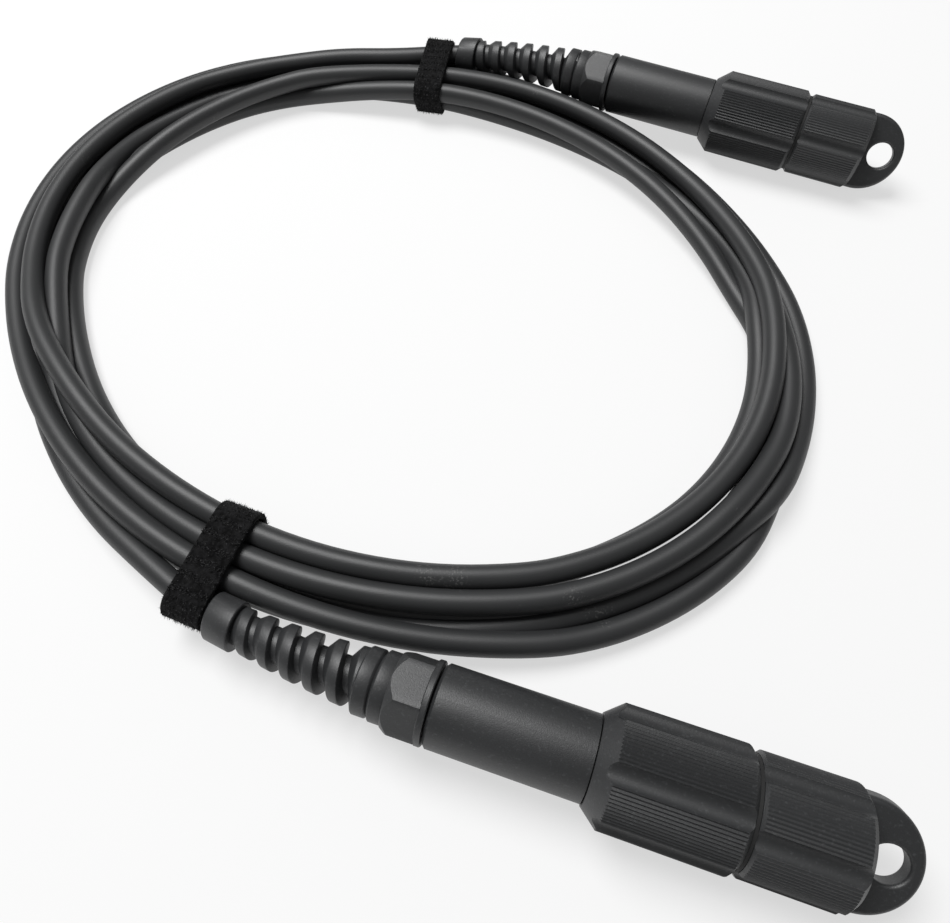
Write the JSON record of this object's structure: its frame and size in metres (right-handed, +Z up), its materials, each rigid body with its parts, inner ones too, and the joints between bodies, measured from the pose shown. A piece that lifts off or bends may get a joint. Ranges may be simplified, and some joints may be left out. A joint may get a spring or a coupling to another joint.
{
  "type": "fibre optic cable",
  "caption": "Coil of round fibre optic cable held by hook-and-loop ties, with a sealed connector at each end: spiral bend relief, ribbed coupling nut and eyelet cap.",
  "frame": {"origin": "middle of the part's box, on the surface that it lies on", "axes": "+Z up; seen from above with +Y away, the caps point to the right, a little towards the viewer"},
  "size_m": [0.3216, 0.3144, 0.0292],
  "materials": {
    "jacket": "matte",
    "strap": "fuzzy loop pile",
    "housing": "satin",
    "seal": "matte",
    "metal": "satin",
    "buffer": "matte",
    "carrier": "matte",
    "ferrule": "polished"
  },
  "bodies": {
    "cable": {"cable_coil": "jacket", "cable_lead_near": "jacket", "tie_near": "strap", "gland_nut_near": "housing", "gland_seal_near": "seal", "barrel_near": "housing", "crimp_sleeve_near": "metal", "fibres_near": "buffer", "insert_near": "carrier", "ferrules_near": "ferrule", "retaining_ring_near": "metal", "cable_lead_far": "jacket", "tie_far": "strap", "gland_nut_far": "housing", "gland_seal_far": "seal", "barrel_far": "housing", "crimp_sleeve_far": "metal", "fibres_far": "buffer", "insert_far": "carrier", "ferrules_far": "ferrule", "retaining_ring_far": "metal"},
    "coupling_nut_near": {"coupling_nut_near": "housing"},
    "cap_gasket_near": {"cap_gasket_near": "seal"},
    "cap_near": {"cap_near": "housing"},
    "coupling_nut_far": {"coupling_nut_far": "housing"},
    "cap_gasket_far": {"cap_gasket_far": "seal"},
    "cap_far": {"cap_far": "housing"}
  },
  "joints": [
    {"name": "nut_turn_near", "type": "hinge", "parent": "cable", "child": "coupling_nut_near", "pos_m": [0.06234, -0.13685, 0.0143], "axis": [0.9492, -0.3148, 0], "continuous": true},
    {"name": "cap_travel_near", "type": "slide", "parent": "coupling_nut_near", "child": "cap_gasket_near", "axis": [0.9492, -0.3148, 0], "range_m": [0, 0.009]},
    {"name": "cap_turn_near", "type": "hinge", "parent": "cap_gasket_near", "child": "cap_near", "pos_m": [0.06234, -0.13685, 0.0143], "axis": [0.9492, -0.3148, 0], "range_deg": [0, 540]},
    {"name": "nut_turn_far", "type": "hinge", "parent": "cable", "child": "coupling_nut_far", "pos_m": [0.12422, 0.09575, 0.01427], "axis": [0.923, -0.3842, -0.0207], "continuous": true},
    {"name": "cap_travel_far", "type": "slide", "parent": "coupling_nut_far", "child": "cap_gasket_far", "axis": [0.923, -0.3842, -0.0207], "range_m": [0, 0.009]},
    {"name": "cap_turn_far", "type": "hinge", "parent": "cap_gasket_far", "child": "cap_far", "pos_m": [0.12422, 0.09575, 0.01427], "axis": [0.923, -0.3842, -0.0207], "range_deg": [0, 540]}
  ],
  "couplings": [
    {"joint": "cap_turn_near", "follows": "cap_travel_near", "rad_per_m": 1047.2},
    {"joint": "cap_turn_far", "follows": "cap_travel_far", "rad_per_m": 1047.2}
  ]
}
